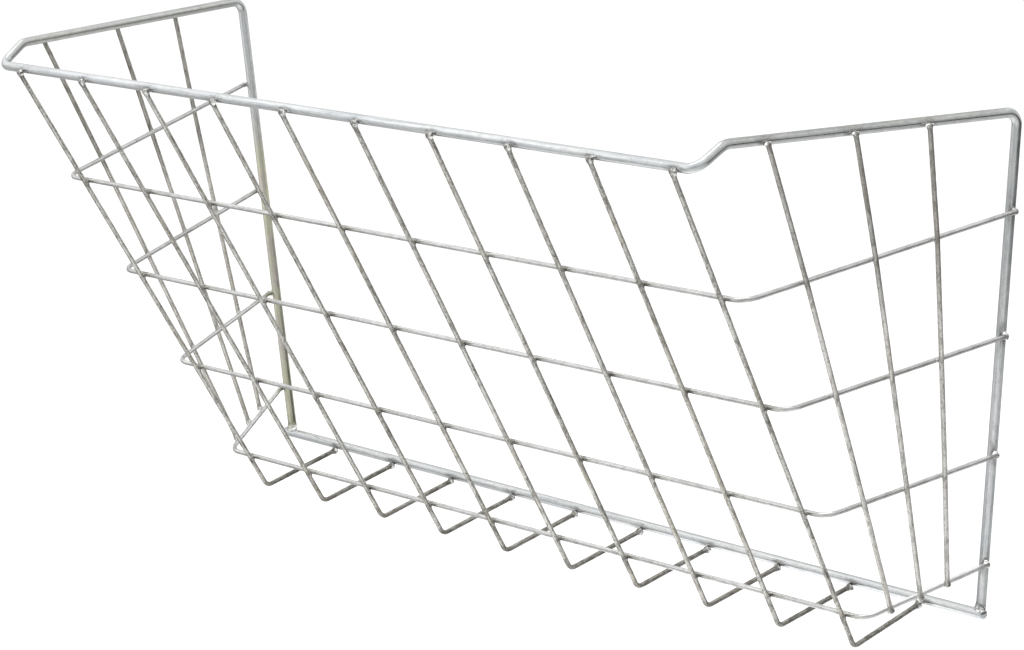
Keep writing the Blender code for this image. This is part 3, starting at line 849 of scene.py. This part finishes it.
def makeFloor():
    material, tree = stageMaterial("paleFloor")
    matt = addNode(tree, "BsdfDiffuse", [("Color", (studio["floorColour"],) * 3 + (1.0,))])
    lift = math2(tree, "MULTIPLY", seenRays(tree), studio["floorLift"])
    lift = addNode(tree, "Emission", [("Strength", lift)])
    both = addNode(tree, "AddShader", [(0, matt.outputs[0]), (1, lift.outputs[0])])
    addNode(tree, "OutputMaterial", [("Surface", both.outputs[0])])
    reach, level = studio["floorSize"], studio["floorLevel"]
    corners = [(-reach, -reach, level), (reach, -reach, level),
               (reach, reach, level), (-reach, reach, level)]
    stagePiece("floor", corners, [(0, 1, 2, 3)], material)


# The flags' shades. A band gives the heights in degrees between which a shade comes and goes, a
# way is a turn in degrees, and an edge is the cosine of the angle from that way at which the
# shade starts and is full. Each of the line's ways has its own edge and share.
flags = {"centre": (0.0, -0.1, 0.15), "radius": 1.8, "floorRoom": 0.01,
         "rows": 46, "columns": 96, "lowest": -50.0, "highest": 60.0,
         "line": 0.33, "lineBand": ((-42.0, -30.0), (-20.0, 12.0)), "lineLeast": 0.38,
         "lineWays": ((-150.0, (0.3, 0.9), 0.6), (48.0, (0.3, 0.95), 0.8),
                      (140.0, (0.3, 1.0), -0.3)),
         "side": 0.42, "sideBand": ((-22.0, -4.0), (10.0, 50.0)), "sideWay": -10.0,
         "sideEdge": (-0.25, 0.75),
         "glow": 0.32, "glowBand": ((6.0, 30.0), (42.0, 56.0)), "glowWay": -155.0,
         "glowEdge": (0.2, 0.9),
         "card": 0.24, "cardWay": (-0.75, 0.63, -0.2), "cardEdge": (0.25, 0.75),
         "strip": 0.34, "stripBand": ((-16.0, -11.0), (-4.0, 1.0)), "stripWay": 45.0,
         "stripEdge": (0.6, 0.85)}


def makeFlags():
    # A bowl round the rack that only mirrored rays meet: centre + distance * way(height, turn),
    # where the distance is the radius, or less where the floor is nearer. It is white. A band
    # mostly below the horizon, deeper towards two ways and paler towards a third, gives bright
    # metal soft grey lines along itself, and a wider one greys the right. A glow stands to the
    # left, a little in front. A card behind on the left and a strip behind on the right draw
    # the metal's outlines:
    # shade = 1 - line band * line * deeper(turn) - side band * side * side way(turn)
    # + glow band * glow way(turn) * glow - card way * card - strip band * strip way(turn) * strip
    material, tree = stageMaterial("flagCloth")
    shade = addNode(tree, "Attribute", attribute_name="shade")
    glow = addNode(tree, "Emission", [("Strength", shade.outputs["Fac"])])
    addNode(tree, "OutputMaterial", [("Surface", glow.outputs[0])])
    material.cycles.emission_sampling = "NONE"
    heights = np.radians(np.linspace(flags["lowest"], flags["highest"], flags["rows"]))
    turns = np.linspace(0.0, 2 * np.pi, flags["columns"], endpoint=False)
    height, turn = np.meshgrid(heights, turns, indexing="ij")
    centre = np.array(flags["centre"])
    room = centre[2] - studio["floorLevel"] - flags["floorRoom"]
    steepness = np.maximum(-np.sin(height), 0.01)  # no division by 0 at the horizon and above
    distance = np.minimum(flags["radius"], room / steepness)
    ways = np.stack([np.cos(height) * np.cos(turn), np.cos(height) * np.sin(turn),
                     np.sin(height)], axis=-1)
    points = centre + distance[..., None] * ways
    degrees = np.degrees(height)

    def band(word):
        rise, fall = flags[word]
        return falling(*rise, degrees) * (1 - falling(*fall, degrees))

    def facing(way, edge):
        return falling(*edge, np.cos(turn - np.radians(way)))

    deeper = sum((share * facing(way, edge) for way, edge, share in flags["lineWays"]),
                 flags["lineLeast"])
    card = falling(*flags["cardEdge"], ways @ unit(np.array(flags["cardWay"])))
    shades = (1 - band("lineBand") * flags["line"] * deeper
              - band("sideBand") * flags["side"] * facing(flags["sideWay"], flags["sideEdge"])
              + band("glowBand") * facing(flags["glowWay"], flags["glowEdge"]) * flags["glow"]
              - card * flags["card"]
              - band("stripBand") * facing(flags["stripWay"], flags["stripEdge"]) * flags["strip"])
    faces = ringQuads(flags["rows"], flags["columns"])
    bowl = stagePiece("flags", points.reshape(-1, 3).tolist(), faces, material)
    setMask(bowl.data, "shade", shades.ravel().astype(np.float32))
    bowl.data.shade_smooth()
    bowl.visible_camera = bowl.visible_diffuse = bowl.visible_shadow = False
    bowl.visible_transmission = False


def makeLamp(name, values):
    light = bpy.data.lights.new(name, "AREA")
    light.energy, light.size = values["power"], values["size"]
    lamp = linked(name, light)
    lamp.location = values["at"]
    lamp.rotation_mode = "QUATERNION"
    aim = Vector(studio["lampAim"]) - Vector(values["at"])
    lamp.rotation_quaternion = aim.to_track_quat("-Z", "Y")


def makeWorld():
    world = bpy.data.worlds.new("studio")
    world.use_nodes = True
    tree = world.node_tree
    sky = tree.nodes["Background"]
    gain = math2(tree, "MULTIPLY", seenRays(tree), 1.0 - studio["ambient"])
    tree.links.new(math2(tree, "ADD", gain, studio["ambient"]), sky.inputs["Strength"])
    sky.inputs["Color"].default_value = (1.0, 1.0, 1.0, 1.0)
    bpy.context.scene.world = world


# The camera: metres, turns in radians, and lens and sensor in millimetres
view = {"at": (2.00357, -1.76470, 0.70023), "yaw": 0.87049, "pitch": 0.21199, "roll": 0.0289,
        "focal": 151.17, "sensor": 36.0, "nearest": 0.05, "farthest": 200.0}


def makeCamera():
    yaw, pitch, roll = view["yaw"], view["pitch"], view["roll"]
    ahead = np.array((-np.sin(yaw) * np.cos(pitch), np.cos(yaw) * np.cos(pitch), -np.sin(pitch)))
    right = np.array((np.cos(yaw), np.sin(yaw), 0.0))
    down = np.cross(ahead, right)
    across = np.cos(roll) * right + np.sin(roll) * down
    below = -np.sin(roll) * right + np.cos(roll) * down
    camera = linked("camera", bpy.data.cameras.new("camera"))
    camera.data.lens, camera.data.sensor_width = view["focal"], view["sensor"]
    turned = Matrix(np.column_stack([across, -below, -ahead]).tolist()).to_4x4()
    camera.matrix_world = Matrix.Translation(view["at"]) @ turned
    camera.data.clip_start, camera.data.clip_end = view["nearest"], view["farthest"]
    bpy.context.scene.camera = camera


makeFloor()
makeFlags()
for name, values in studio["lamps"].items():
    makeLamp(name, values)
makeWorld()
makeCamera()
bpy.context.scene.view_settings.view_transform = "Standard"
print("studio set")
